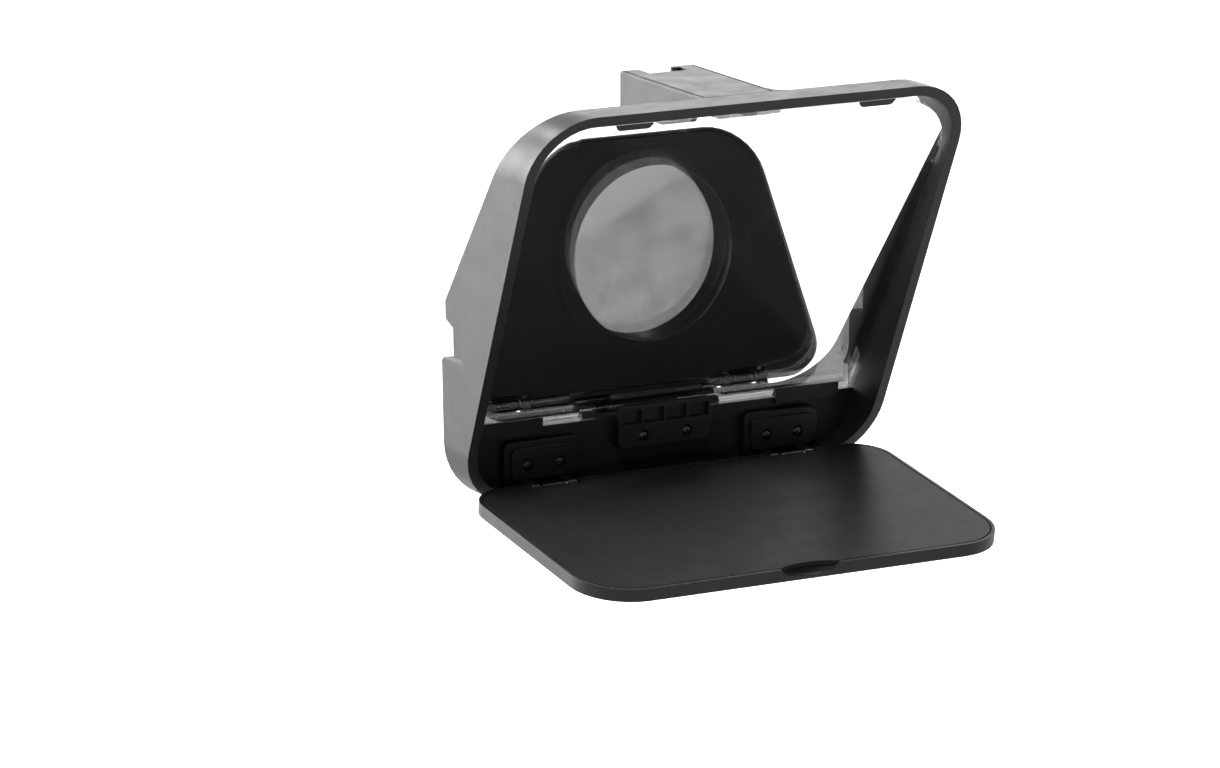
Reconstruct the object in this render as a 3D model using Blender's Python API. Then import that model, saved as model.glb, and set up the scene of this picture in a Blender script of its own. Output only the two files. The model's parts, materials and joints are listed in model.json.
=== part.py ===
"""Folding phone teleprompter: a leaning hood with beam-splitter glass, a fold-up tray and a lens board.

Metres, +Z up. The origin is on the lens axis at the back face of the adapter ring. The lens axis runs
along Y: the presenter and the tray are towards -Y, the camera is towards +Y. X runs across the hood.
"""
import math

import bmesh
import bpy

MM = 0.001
GAP = 0.3 * MM                       # between pieces that touch

# Hood: a rounded tube along Y, cut in front by a leaning plane and behind by a stepped profile
HOOD_BOTTOM, HOOD_TOP = -93.3 * MM, 77.0 * MM
HOOD_HALF_BOTTOM, HOOD_HALF_TOP = 95.6 * MM, 98.4 * MM
HOOD_RADIUS = 26.0 * MM
HOOD_WALL = 4.3 * MM
FRONT_LEAN = math.radians(24.3)      # the front rim leans towards the presenter
FRONT_FOOT = (-30.3 * MM, -85.4 * MM)  # y, z of a point on the front plane
HOOD_BACK_LOW = -15.5 * MM           # y of the lower back edge
HOOD_BACK_MID = -19.6 * MM           # y of the short upright stretch above the recess
HOOD_BACK_KNEE = -8.8 * MM           # z where the side walls' rear edge starts to slant
HOOD_BACK_TOP = -86.0 * MM           # y of the top wall's back edge
RECESS = dict(y=-26.2 * MM, z_low=-30.8 * MM, z_high=-19.0 * MM, slot_y=-34.0 * MM, slot=1.8 * MM)
APRON_FRONT, APRON_TOP = -33.2 * MM, -91.6 * MM  # the floor's thin lip under the tray's rear edge
APRON_HALF = 66.0 * MM
APRON_SLOT = -30.0 * MM              # y where the lip's slots for the hinge noses end
SILL_TOP = -65.5 * MM                # the low wall across the back of the floor
SILL_FRONT = -19.5 * MM

# Beam-splitter glass, leaning more than the rim
GLASS_LEAN = math.radians(30.9)
GLASS_FOOT = (-17.7 * MM, -65.1 * MM)  # y, z of the front lower edge
GLASS_THICK = 2.5 * MM
GLASS_TOP = 70.9 * MM                # z of the glass's upper front edge
GLASS_SIDE_GAP = 0.6 * MM
GLASS_RADIUS = 28.0 * MM
CLIP_X, CLIP_WIDTH = 54.4 * MM, 16.5 * MM
FOOT_X, FOOT_LENGTH = 69.0 * MM, 30.0 * MM

# Tray, in its own frame: origin on its hinge axis, front towards -Y
TRAY_AXIS = (-32.2 * MM, -88.2 * MM)
TRAY_DROP = math.radians(7.6)        # the open tray slopes down towards the presenter
TRAY_HALF = 94.45 * MM
TRAY_FRONT, TRAY_BACK = -114.3 * MM, 1.0 * MM
TRAY_TOP, TRAY_BOTTOM = 2.54 * MM, -2.70 * MM
TRAY_FRONT_RADIUS, TRAY_BACK_RADIUS = 23.0 * MM, 16.0 * MM
TRAY_RIM = 1.4 * MM
TRAY_GROOVE = 0.6 * MM
PLATE_THICK = 1.8 * MM
SCOOP = (13.5 * MM, 4.6 * MM, 4.0 * MM)  # half sizes of the finger dish across the front edge

# Tray hinges
HINGE_X = 55.3 * MM
BLOCK_HALF = 17.5 * MM
BLOCK_FRONT, BLOCK_TOP = -23.6 * MM, -70.0 * MM
PANEL_HALF, PANEL_LOW, PANEL_TOP, PANEL_FRONT = 14.6 * MM, -86.0 * MM, -72.4 * MM, -24.9 * MM
EAR_RADIUS, BARREL_RADIUS = 2.6 * MM, 2.35 * MM
PIN_RADIUS, PIN_HOLE = 1.2 * MM, 1.45 * MM
EAR_IN, EAR_OUT = 6.4 * MM, 10.4 * MM
BARREL_HALF = 5.4 * MM

# Arm over the camera lens
ARM_HALF = 17.0 * MM
ARM_BACK = -18.0 * MM
ARM_PLATE, ARM_FLANGE = 2.6 * MM, 2.4 * MM
ARM_DEPTH = 16.0 * MM
NOTCH_HALF, NOTCH_DEPTH = 8.75 * MM, 10.0 * MM
ARM_FLARE = 7.0 * MM
ARM_GROOVE = 15.4 * MM

# Lens board and its adapter ring
BOARD_FRONT, BOARD_BACK = -13.5 * MM, -9.5 * MM
BOARD_BOTTOM, BOARD_TOP = -63.5 * MM, 49.3 * MM
BOARD_HALF_BOTTOM, BOARD_HALF_TOP = 84.8 * MM, 48.2 * MM
BOARD_RADIUS_BOTTOM, BOARD_RADIUS_TOP = 13.0 * MM, 28.0 * MM
BOARD_AXIS = (-11.5 * MM, -66.0 * MM)
OPENING_RADIUS = 41.0 * MM
RING_FLANGE, RING_BODY, RING_BOSS, RING_BORE = 44.0 * MM, 40.6 * MM, 38.4 * MM, 36.0 * MM
LEAF_HALF, LEAF_TOP, LEAF_SCREW_Z = 12.4 * MM, -44.9 * MM, -48.8 * MM
KNUCKLE_HALF, BRACKET_HALF = 26.5 * MM, 32.0 * MM
CENTRE_HALF = 21.4 * MM


# ---------------------------------------------------------------- tools
def clear_scene():
    for item in list(bpy.data.objects):
        bpy.data.objects.remove(item, do_unlink=True)


def make_material(name, colour, roughness, metallic=0.0, alpha=1.0):
    material = bpy.data.materials.new(name)
    material.use_nodes = True
    shader = material.node_tree.nodes["Principled BSDF"]
    shader.inputs["Base Color"].default_value = (*colour, 1.0)
    shader.inputs["Roughness"].default_value = roughness
    shader.inputs["Metallic"].default_value = metallic
    shader.inputs["Alpha"].default_value = alpha
    return material


def link(name, mesh, material=None, parent=None, smooth=None):
    item = bpy.data.objects.new(name, mesh)
    bpy.context.scene.collection.objects.link(item)
    if material is not None:
        mesh.materials.append(material)
    if parent is not None:
        item.parent = parent
    if smooth is not None:
        mesh.shade_smooth()
        mesh.set_sharp_from_angle(angle=math.radians(smooth))
    return item


def axis_empty(name, location, turn=0.0, parent=None):
    empty = bpy.data.objects.new(name, None)
    bpy.context.scene.collection.objects.link(empty)
    empty.location = location
    empty.rotation_euler = (turn, 0.0, 0.0)
    empty.empty_display_size = 0.01
    empty.parent = parent
    return empty


def rounded(corners, radii, steps=8):
    """A closed 2-D outline with each corner replaced by a tangent arc."""
    points = []
    count = len(corners)
    for i, (corner, radius) in enumerate(zip(corners, radii)):
        before, after = corners[i - 1], corners[(i + 1) % count]
        if radius <= 0.0:
            points.append(corner)
            continue
        ux, uy = before[0] - corner[0], before[1] - corner[1]
        vx, vy = after[0] - corner[0], after[1] - corner[1]
        ul, vl = math.hypot(ux, uy), math.hypot(vx, vy)
        ux, uy, vx, vy = ux / ul, uy / ul, vx / vl, vy / vl
        half = math.acos(max(-1.0, min(1.0, ux * vx + uy * vy))) / 2
        bx, by = ux + vx, uy + vy
        bl = math.hypot(bx, by)
        reach = radius / math.sin(half)
        cx, cy = corner[0] + bx / bl * reach, corner[1] + by / bl * reach
        tangent = radius / math.tan(half)
        start = math.atan2(corner[1] + uy * tangent - cy, corner[0] + ux * tangent - cx)
        end = math.atan2(corner[1] + vy * tangent - cy, corner[0] + vx * tangent - cx)
        turn = (end - start + math.pi) % (2 * math.pi) - math.pi
        for k in range(steps + 1):
            angle = start + turn * k / steps
            points.append((cx + radius * math.cos(angle), cy + radius * math.sin(angle)))
    return points


def prism_mesh(bm, outline, axis, low, high):
    """Adds an outline extruded along an axis: X takes (y, z), Y takes (x, z), Z takes (x, y)."""
    place = {
        "X": lambda p, d: (d, p[0], p[1]),
        "Y": lambda p, d: (p[0], d, p[1]),
        "Z": lambda p, d: (p[0], p[1], d),
    }[axis]
    bottom = [bm.verts.new(place(p, low)) for p in outline]
    top = [bm.verts.new(place(p, high)) for p in outline]
    bm.faces.new(bottom)
    bm.faces.new(top)
    for i in range(len(outline)):
        j = (i + 1) % len(outline)
        bm.faces.new((bottom[i], bottom[j], top[j], top[i]))


def prism(name, outline, axis, low, high, material=None, parent=None, smooth=30):
    return prisms(name, [(outline, axis, low, high)], material, parent, smooth)


def prisms(name, parts, material=None, parent=None, smooth=30):
    bm = bmesh.new()
    for part in parts:
        prism_mesh(bm, *part)
    bmesh.ops.recalc_face_normals(bm, faces=bm.faces)
    mesh = bpy.data.meshes.new(name)
    bm.to_mesh(mesh)
    bm.free()
    return link(name, mesh, material, parent, smooth)


def box_outline(a0, a1, b0, b1):
    return [(a0, b0), (a1, b0), (a1, b1), (a0, b1)]


def arc_points(centre, radius, degrees):
    return [(centre[0] + radius * math.cos(math.radians(a)), centre[1] + radius * math.sin(math.radians(a)))
            for a in degrees]


def circle(radius, centre=(0.0, 0.0), count=24):
    return [(centre[0] + radius * math.cos(2 * math.pi * k / count),
             centre[1] + radius * math.sin(2 * math.pi * k / count)) for k in range(count)]


def turned(name, profile, count, material=None, parent=None, centre=(0.0, 0.0, 0.0)):
    """A closed (radius, y) profile turned about an axis along Y."""
    bm = bmesh.new()
    rings = []
    for k in range(count):
        angle = 2 * math.pi * k / count
        rings.append([bm.verts.new((centre[0] + r * math.cos(angle), centre[1] + y,
                                    centre[2] + r * math.sin(angle))) for r, y in profile])
    for k in range(count):
        here, after = rings[k], rings[(k + 1) % count]
        for i in range(len(profile)):
            j = (i + 1) % len(profile)
            bm.faces.new((here[i], here[j], after[j], after[i]))
    bmesh.ops.recalc_face_normals(bm, faces=bm.faces)
    mesh = bpy.data.meshes.new(name)
    bm.to_mesh(mesh)
    bm.free()
    return link(name, mesh, material, parent, 30)


def boolean(item, tool, operation="DIFFERENCE"):
    modifier = item.modifiers.new(operation.lower(), "BOOLEAN")
    modifier.operation = operation
    modifier.solver = "EXACT"
    modifier.object = tool
    tool.hide_render = True
    tool.display_type = "WIRE"


def front_y(z):
    """y of the hood's leaning front plane at height z."""
    return FRONT_FOOT[0] - (z - FRONT_FOOT[1]) * math.tan(FRONT_LEAN)


def glass_y(z, back=False):
    """y of the glass's front or back face at height z."""
    y = GLASS_FOOT[0] - (z - GLASS_FOOT[1]) * math.tan(GLASS_LEAN)
    return y + (GLASS_THICK / math.cos(GLASS_LEAN) if back else 0.0)


def hood_half(z):
    """Half of the hood's outer width at height z."""
    share = (z - HOOD_BOTTOM) / (HOOD_TOP - HOOD_BOTTOM)
    return HOOD_HALF_BOTTOM + share * (HOOD_HALF_TOP - HOOD_HALF_BOTTOM)


def back_y(z):
    """y of the slanting rear edge of the hood's side walls at height z."""
    share = (z - HOOD_BACK_KNEE) / (HOOD_TOP - HOOD_BACK_KNEE)
    return HOOD_BACK_MID + share * (HOOD_BACK_TOP - HOOD_BACK_MID)


def arm_front_y(z):
    """y of the arm's front end at height z, just behind the top wall."""
    return back_y(z) + 1.3 * GAP


def trapezoid(z0, half0, z1, half1):
    return [(-half0, z0), (half0, z0), (half1, z1), (-half1, z1)]


# ---------------------------------------------------------------- hood
def hood_frame(material):
    outer = rounded(trapezoid(HOOD_BOTTOM, hood_half(HOOD_BOTTOM), HOOD_TOP, hood_half(HOOD_TOP)),
                    [HOOD_RADIUS] * 4, 10)
    low, high = HOOD_BOTTOM + HOOD_WALL, HOOD_TOP - HOOD_WALL
    inner = rounded(trapezoid(low, hood_half(low) - HOOD_WALL, high, hood_half(high) - HOOD_WALL),
                    [HOOD_RADIUS - HOOD_WALL] * 4, 10)
    hood = prism("hood_frame", outer, "Y", -0.125, 0.0, material)
    tools = [prism("hood_hollow_front", inner, "Y", -0.14, SILL_FRONT)]
    above_sill = rounded(trapezoid(SILL_TOP, hood_half(SILL_TOP) - HOOD_WALL, high,
                                   hood_half(high) - HOOD_WALL),
                         [0.0, 0.0, HOOD_RADIUS - HOOD_WALL, HOOD_RADIUS - HOOD_WALL], 10)
    tools.append(prism("hood_hollow_back", above_sill, "Y", SILL_FRONT - 0.004, 0.02))
    for tool in tools:
        boolean(hood, tool)
    side = [
        (APRON_FRONT, -0.11),
        (HOOD_BACK_LOW, -0.11),
        (HOOD_BACK_LOW, RECESS["z_low"] - RECESS["slot"] - 1.5 * MM),
        (HOOD_BACK_LOW - 1.5 * MM, RECESS["z_low"] - RECESS["slot"]),
        (RECESS["slot_y"], RECESS["z_low"] - RECESS["slot"]),
        (RECESS["slot_y"], RECESS["z_low"]),
        (RECESS["y"], RECESS["z_low"]),
        (RECESS["y"], RECESS["z_high"]),
        (HOOD_BACK_MID, RECESS["z_high"] + 2.7 * MM),
        (HOOD_BACK_MID, HOOD_BACK_KNEE),
        (back_y(HOOD_TOP + 5 * MM), HOOD_TOP + 5 * MM),
        (front_y(HOOD_TOP + 5 * MM), HOOD_TOP + 5 * MM),
        (front_y(APRON_TOP), APRON_TOP),
        (APRON_FRONT, APRON_TOP),
    ]
    boolean(hood, prism("hood_side_profile", side, "X", -0.12, 0.12), "INTERSECT")
    slots = [(box_outline(middle - width / 2, middle + width / 2, APRON_FRONT - 1 * MM, APRON_SLOT), "Z",
              HOOD_BOTTOM - 1 * MM, APRON_TOP + 1 * MM) for middle, width in nose_slots()]
    boolean(hood, prisms("apron_slots", slots))
    ahead = [(-0.05, -0.11), (front_y(-0.11), -0.11), (front_y(-0.0906), -0.0906), (-0.05, -0.0906)]
    boolean(hood, prisms("apron_ends", [(ahead, "X", APRON_HALF, 0.12), (ahead, "X", -0.12, -APRON_HALF)]))
    holes = [(circle(1.3 * MM, (x, z), 12), "Y", SILL_FRONT - 0.004, 0.0) for x, z in sill_screws()]
    boolean(hood, prisms("sill_screw_holes", holes))
    top_holes = [(circle(1.3 * MM, (x, -90.0 * MM), 12), "Z", high - 0.003, high + 0.003)
                 for x in (-9 * MM, 9 * MM)]
    boolean(hood, prisms("arm_screw_holes_top", top_holes))
    return hood


def nose_slots():
    """Middle and width in x of each slot in the floor's lip, one for every stop nose."""
    width = EAR_OUT - EAR_IN + 2 * GAP
    return [(side * HINGE_X + step * (EAR_IN + EAR_OUT) / 2, width) for side in (-1, 1) for step in (-1, 1)]


def sill_screws():
    """x, z of every screw that goes into the sill."""
    places = [(side * HINGE_X + step, -79.5 * MM) for side in (-1, 1) for step in (-7.3 * MM, 7.3 * MM)]
    return places + [(-10.0 * MM, -73.0 * MM), (10.0 * MM, -73.0 * MM)]


def glass(material):
    """A flat plate in the hood, with its top corners rounded to follow the hood."""
    slope = math.cos(GLASS_LEAN)
    height = (GLASS_TOP - GLASS_FOOT[1]) / slope
    inside = HOOD_WALL + GLASS_SIDE_GAP
    outline = rounded(trapezoid(0.0, hood_half(GLASS_FOOT[1]) - inside, height,
                                hood_half(GLASS_TOP) - inside),
                      [0.5 * MM, 0.5 * MM, GLASS_RADIUS, GLASS_RADIUS], 10)
    plate = prism("beam_splitter_glass", outline, "Y", 0.0, GLASS_THICK, material)
    plate.location = (0.0, GLASS_FOOT[0], GLASS_FOOT[1])
    plate.rotation_euler = (GLASS_LEAN, 0.0, 0.0)
    return plate


def glass_clips(material):
    """Thin lips that hang from the top wall in front of the glass, and ledges that hold its foot."""
    for side, word in ((-1, "left"), (1, "right")):
        low, high = 70.0 * MM, HOOD_TOP - HOOD_WALL - GAP
        centre = side * CLIP_X
        half = CLIP_WIDTH / 2
        outline = rounded([(centre - half + 1.5 * MM, low), (centre + half - 1.5 * MM, low),
                           (centre + half, high), (centre - half, high)], [1.6 * MM, 1.6 * MM, 0.0, 0.0], 4)
        clip = prism(f"glass_clip_{word}", outline, "Y", -0.11, -0.09, material)
        wedge = [(front_y(0.06) + 0.15 * MM, 0.06), (glass_y(0.06) - GAP, 0.06),
                 (glass_y(0.0745) - GAP, 0.0745), (front_y(0.0745) + 0.15 * MM, 0.0745)]
        boolean(clip, prism(f"clip_wedge_{word}", wedge, "X", -0.12, 0.12), "INTERSECT")
        ledge = [(SILL_FRONT + GAP, SILL_TOP + GAP), (glass_y(SILL_TOP + GAP) - GAP, SILL_TOP + GAP),
                 (glass_y(-61.6 * MM) - GAP, -61.6 * MM), (glass_y(-61.6 * MM) - 1.8 * MM, -61.6 * MM),
                 (SILL_FRONT - 1.9 * MM, SILL_TOP + 1.0 * MM), (SILL_FRONT - 1.9 * MM, -68.0 * MM),
                 (SILL_FRONT - GAP, -68.0 * MM), (SILL_FRONT - GAP, SILL_TOP + GAP)]
        start = side * FOOT_X - FOOT_LENGTH / 2
        prism(f"glass_foot_{word}", ledge, "X", start, start + FOOT_LENGTH, material)


def glass_rails(material):
    """Bars on the side walls that the glass rests against from the front."""
    for side, word in ((-1, "left"), (1, "right")):
        z0, z1 = -55.0 * MM, 40.0 * MM
        back, thick = GAP, 3.0 * MM
        lean = math.cos(GLASS_LEAN)
        outline = [(glass_y(z0, True) + back / lean, z0), (glass_y(z0, True) + (back + thick) / lean, z0),
                   (glass_y(z1, True) + (back + thick) / lean, z1), (glass_y(z1, True) + back / lean, z1)]
        wall0, wall1 = hood_half(z0) - HOOD_WALL - GAP, hood_half(z1) - HOOD_WALL - GAP
        bm = bmesh.new()
        rows = []
        for (y, z), wall in zip(outline, (wall0, wall0, wall1, wall1)):
            rows.append((bm.verts.new((side * wall, y, z)), bm.verts.new((side * (wall - 3.0 * MM), y, z))))
        bm.faces.new([r[0] for r in rows])
        bm.faces.new([r[1] for r in rows])
        for i in range(4):
            j = (i + 1) % 4
            bm.faces.new((rows[i][0], rows[j][0], rows[j][1], rows[i][1]))
        bmesh.ops.recalc_face_normals(bm, faces=bm.faces)
        mesh = bpy.data.meshes.new(f"glass_rail_{word}")
        bm.to_mesh(mesh)
        bm.free()
        link(f"glass_rail_{word}", mesh, material)


def top_arm(material, screw_material):
    """An inverted channel behind the top wall, with an open notch and a small lip at its far end."""
    foot_front = -94.0 * MM
    foot_top = HOOD_TOP - HOOD_WALL - GAP
    foot_low = foot_top - 2.6 * MM
    low, under, inner = HOOD_TOP - ARM_DEPTH, HOOD_TOP - ARM_PLATE, ARM_HALF - ARM_FLANGE
    section = [(-ARM_HALF, low), (-ARM_HALF, HOOD_TOP), (ARM_HALF, HOOD_TOP), (ARM_HALF, low), (inner, low),
               (inner, under), (-inner, under), (-inner, low)]
    section = rounded(section, [0, 0.9 * MM, 0.9 * MM, 0, 0, 0, 0, 0], 3)
    arm = prism("top_arm", section, "Y", HOOD_BACK_TOP - 4 * MM, ARM_BACK, material)
    flares = [(arm_flare(side), "Z", HOOD_TOP - ARM_PLATE, HOOD_TOP) for side in (-1, 1)]
    boolean(arm, prisms("arm_flares", flares), "UNION")
    ahead = [(-0.12, 0.055), (arm_front_y(0.055), 0.055), (arm_front_y(0.08), 0.08), (-0.12, 0.08)]
    boolean(arm, prism("arm_front_cut", ahead, "X", -0.03, 0.03))
    foot_half = ARM_HALF - ARM_FLANGE - 0.5 * MM
    joined = HOOD_TOP - ARM_PLATE + 0.4 * MM
    foot = [(foot_front, foot_top), (foot_front, foot_low), (foot_front + 18 * MM, foot_low),
            (foot_front + 18 * MM, joined), (arm_front_y(joined), joined), (arm_front_y(foot_top), foot_top)]
    boolean(arm, prism("arm_foot", foot, "X", -foot_half, foot_half), "UNION")
    grooves = [(box_outline(x - 0.45 * MM, x + 0.45 * MM, -0.12, ARM_BACK - 1 * MM), "Z",
                HOOD_TOP - 0.8 * MM, HOOD_TOP + 2 * MM) for x in (-ARM_GROOVE, ARM_GROOVE)]
    boolean(arm, prisms("arm_grooves", grooves))
    notch = box_outline(-NOTCH_HALF, NOTCH_HALF, ARM_BACK - NOTCH_DEPTH, ARM_BACK + 1 * MM)
    boolean(arm, prism("arm_notch", notch, "Z", HOOD_TOP - 5 * MM, HOOD_TOP + 2 * MM))
    lip = rounded(box_outline(NOTCH_HALF - 3.2 * MM, NOTCH_HALF + 1.0 * MM, ARM_BACK - 3.0 * MM, ARM_BACK),
                  [1.2 * MM, 0, 0, 1.2 * MM], 4)
    boolean(arm, prism("arm_lip", lip, "Z", HOOD_TOP - ARM_PLATE, HOOD_TOP), "UNION")
    holes = [(circle(1.5 * MM, (x, -90.0 * MM), 12), "Z", foot_top - 4 * MM, foot_top + 1 * MM)
             for x in (-9 * MM, 9 * MM)]
    boolean(arm, prisms("arm_screw_holes", holes))
    for side, word in ((-1, "left"), (1, "right")):
        screw_up(f"arm_screw_{word}", side * 9 * MM, -90.0 * MM, foot_low - GAP, screw_material)


def arm_flare(side):
    """The concave corner where the arm's plate widens into the hood, as x and y."""
    front = HOOD_BACK_TOP - 2 * MM
    corner_y = HOOD_BACK_TOP + ARM_FLARE
    arc = []
    for k in range(7):
        angle = math.radians(180 + 15 * k)
        arc.append((ARM_HALF + ARM_FLARE * (1 + math.cos(angle)), corner_y + ARM_FLARE * math.sin(angle)))
    outline = [(ARM_HALF - 1.5 * MM, front), (ARM_HALF - 1.5 * MM, corner_y)] + arc
    outline.append((ARM_HALF + ARM_FLARE, front))
    return [(side * x, y) for x, y in outline]


def screw_up(name, x, y, z, material):
    """A pan-head screw driven upwards: head below height z, shank above it."""
    profile = [(0.0, -1.2 * MM), (2.0 * MM, -1.2 * MM), (2.3 * MM, -0.6 * MM), (2.3 * MM, 0.0),
               (1.0 * MM, 0.0), (1.0 * MM, 4.6 * MM), (0.0, 4.6 * MM)]
    screw = lathe_solid(name, profile, 12, material)
    screw.location = (x, y, z)
    screw.rotation_euler = (math.radians(90), 0.0, 0.0)
    return screw


def lathe_solid(name, profile, count, material, parent=None):
    """A solid turned about Y from a (radius, y) profile whose ends lie on the axis."""
    bm = bmesh.new()
    ends = [bm.verts.new((0.0, profile[0][1], 0.0)), bm.verts.new((0.0, profile[-1][1], 0.0))]
    rings = []
    for k in range(count):
        angle = 2 * math.pi * k / count
        rings.append([bm.verts.new((r * math.cos(angle), y, r * math.sin(angle))) for r, y in profile[1:-1]])
    for k in range(count):
        here, after = rings[k], rings[(k + 1) % count]
        bm.faces.new((ends[0], here[0], after[0]))
        bm.faces.new((ends[1], after[-1], here[-1]))
        for i in range(len(here) - 1):
            bm.faces.new((here[i], here[i + 1], after[i + 1], after[i]))
    bmesh.ops.recalc_face_normals(bm, faces=bm.faces)
    mesh = bpy.data.meshes.new(name)
    bm.to_mesh(mesh)
    bm.free()
    return link(name, mesh, material, parent, 30)


# ---------------------------------------------------------------- tray hinges
def countersunk(name, x, y, z, length, material, facing=-1):
    """A flat-head screw along Y with its head at y, facing -Y or +Y."""
    profile = [(0.0, 0.0), (2.1 * MM, 0.0), (2.1 * MM, 0.5 * MM), (1.0 * MM, 1.6 * MM),
               (1.0 * MM, length), (0.0, length)]
    profile = [(r, -facing * d) for r, d in profile]
    screw = lathe_solid(name, profile, 12, material)
    screw.location = (x, y, z)
    return screw


def cut_countersinks(item, places, y, depth, facing=-1):
    """Cuts a countersunk hole at each (x, z), from the face at y inwards."""
    bm = bmesh.new()
    count = 12
    rows = [(2.4 * MM, -1.0 * MM), (2.4 * MM, 0.8 * MM), (1.3 * MM, 1.9 * MM), (1.3 * MM, depth)]
    for x, z in places:
        rings = [[bm.verts.new((x + r * math.cos(2 * math.pi * k / count), y - facing * d,
                                z + r * math.sin(2 * math.pi * k / count))) for k in range(count)]
                 for r, d in rows]
        bm.faces.new(rings[0])
        bm.faces.new(rings[-1])
        for a, b in zip(rings, rings[1:]):
            for k in range(count):
                m = (k + 1) % count
                bm.faces.new((a[k], a[m], b[m], b[k]))
    bmesh.ops.recalc_face_normals(bm, faces=bm.faces)
    mesh = bpy.data.meshes.new(item.name + "_countersinks")
    bm.to_mesh(mesh)
    bm.free()
    boolean(item, link(item.name + "_countersinks", mesh))


def tilted(y, z):
    """A point of the open tray's frame, as world y and z."""
    return (TRAY_AXIS[0] + y * math.cos(TRAY_DROP) - z * math.sin(TRAY_DROP),
            TRAY_AXIS[1] + y * math.sin(TRAY_DROP) + z * math.cos(TRAY_DROP))


def tray_hinge_block(side, word, material, screw_material, pin_material):
    centre = side * HINGE_X
    floor = HOOD_BOTTOM + HOOD_WALL + GAP
    axis_y, axis_z = TRAY_AXIS
    back = SILL_FRONT - GAP
    plate = rounded(box_outline(centre - BLOCK_HALF, centre + BLOCK_HALF, floor, BLOCK_TOP),
                    [0, 0, 3.5 * MM, 3.5 * MM], 6)
    block = prism(f"tray_hinge_block_{word}", plate, "Y", BLOCK_FRONT, back, material)
    panel = rounded(box_outline(centre - PANEL_HALF, centre + PANEL_HALF, PANEL_LOW, PANEL_TOP),
                    [2.4 * MM] * 4, 6)
    boolean(block, prism(f"block_panel_{word}", panel, "Y", PANEL_FRONT, BLOCK_FRONT + 1 * MM), "UNION")
    ears = []
    for sign in (-1, 1):
        start, end = sorted((centre + sign * EAR_IN, centre + sign * EAR_OUT))
        ear = arc_points(TRAY_AXIS, EAR_RADIUS, range(90, 331, 20)) + [
            (axis_y + 3.3 * MM, floor), (BLOCK_FRONT + 1 * MM, floor),
            (BLOCK_FRONT + 1 * MM, axis_z + EAR_RADIUS)]
        ears.append((ear, "X", start, end))
        nose = [(-1.0, -2.0), (-3.1, -2.85), (-7.5, -2.85), (-7.5, -3.6),
                (-6.8, -4.3), (1.0, -4.3), (2.0, -1.5)]
        ears.append(([tilted(y * MM, z * MM) for y, z in nose], "X", start, end))
    boolean(block, prisms(f"ears_{word}", ears[0::2]), "UNION")
    boolean(block, prisms(f"stop_noses_{word}", ears[1::2]), "UNION")
    bore = circle(PIN_HOLE, TRAY_AXIS, 16)
    boolean(block, prism(f"ear_bore_{word}", bore, "X", centre - 20 * MM, centre + 20 * MM))
    spots = [(centre + step, -79.5 * MM) for step in (-7.3 * MM, 7.3 * MM)]
    cut_countersinks(block, spots, PANEL_FRONT, 10 * MM)
    for (x, z), place in zip(spots, ("a", "b")):
        countersunk(f"block_screw_{word}_{place}", x, PANEL_FRONT + 0.25 * MM, z, 8.5 * MM, screw_material)
    pin = prism(f"tray_hinge_pin_{word}", circle(PIN_RADIUS, (0.0, 0.0), 16), "X",
                -EAR_OUT - 0.2 * MM, EAR_OUT + 0.2 * MM, pin_material)
    pin.location = (centre, axis_y, axis_z)
    washer_x = EAR_IN - 0.5 * MM
    washer = tube_x(f"friction_washer_{word}", 2.2 * MM, PIN_HOLE + 0.05 * MM, washer_x - 0.3 * MM,
                    washer_x + 0.25 * MM, pin_material)
    washer.location = (centre, axis_y, axis_z)


def tube_x(name, outer, inner, low, high, material, parent=None):
    """A plain tube along X between low and high."""
    count = 16
    bm = bmesh.new()
    rings = []
    for radius, x in ((outer, low), (outer, high), (inner, high), (inner, low)):
        rings.append([bm.verts.new((x, radius * math.cos(2 * math.pi * k / count),
                                    radius * math.sin(2 * math.pi * k / count))) for k in range(count)])
    for i in range(4):
        a, b = rings[i], rings[(i + 1) % 4]
        for k in range(count):
            m = (k + 1) % count
            bm.faces.new((a[k], a[m], b[m], b[k]))
    bmesh.ops.recalc_face_normals(bm, faces=bm.faces)
    mesh = bpy.data.meshes.new(name)
    bm.to_mesh(mesh)
    bm.free()
    return link(name, mesh, material, parent, 30)


# ---------------------------------------------------------------- tray
def tray_outline(inset, steps=8):
    half, front, back = TRAY_HALF - inset, TRAY_FRONT + inset, TRAY_BACK - inset
    corners = [(-half, front), (half, front), (half, back), (-half, back)]
    radii = [TRAY_FRONT_RADIUS - inset] * 2 + [TRAY_BACK_RADIUS - inset] * 2
    return rounded(corners, radii, steps)


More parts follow.
